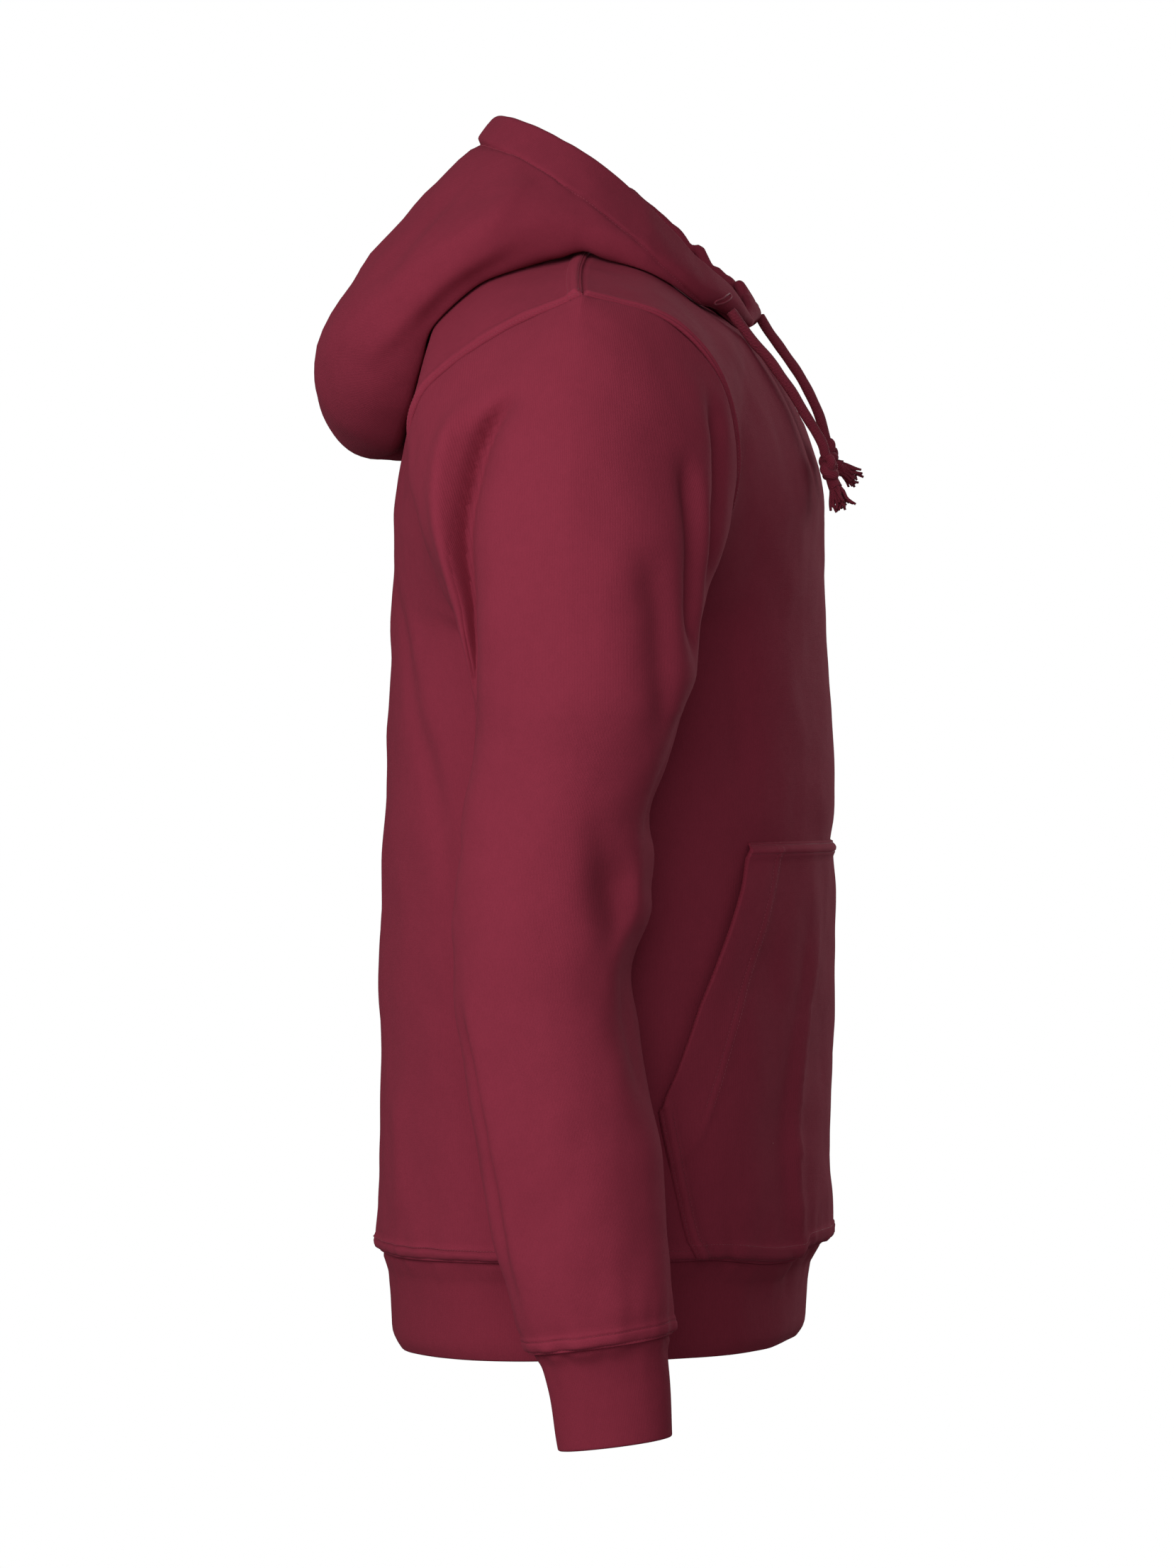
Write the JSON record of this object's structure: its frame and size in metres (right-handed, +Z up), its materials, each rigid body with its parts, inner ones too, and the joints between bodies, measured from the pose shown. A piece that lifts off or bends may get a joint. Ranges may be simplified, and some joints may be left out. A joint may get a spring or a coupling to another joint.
{
  "type": "pullover hoodie",
  "caption": "Pullover hoodie of brushed fleece in its worn shape, hollow, with a fallen hood, hand pocket, rib cuffs and hem and a knotted draw cord.",
  "frame": {"origin": "between the high points of the two shoulder seams, where the wearer's shoulders hold the garment up", "axes": "+Z up, the front towards -Y, the wearer's left towards +X"},
  "size_m": [0.64, 0.3523, 0.8257],
  "materials": {
    "fleece": "brushed fleece, matt, maroon",
    "rib": "fine rib knit, matt, maroon",
    "cord": "braided cord, matt, maroon"
  },
  "bodies": {
    "root": {"front_body": "fleece", "back_body": "fleece", "sleeve_right": "fleece", "sleeve_left": "fleece", "cuff_right": "rib", "cuff_left": "rib", "hem_band": "rib", "pocket": "fleece", "hood_right": "fleece", "hood_left": "fleece", "cord_right": "cord", "cord_left": "cord", "knot_right": "cord", "knot_left": "cord"}
  },
  "joints": []
}
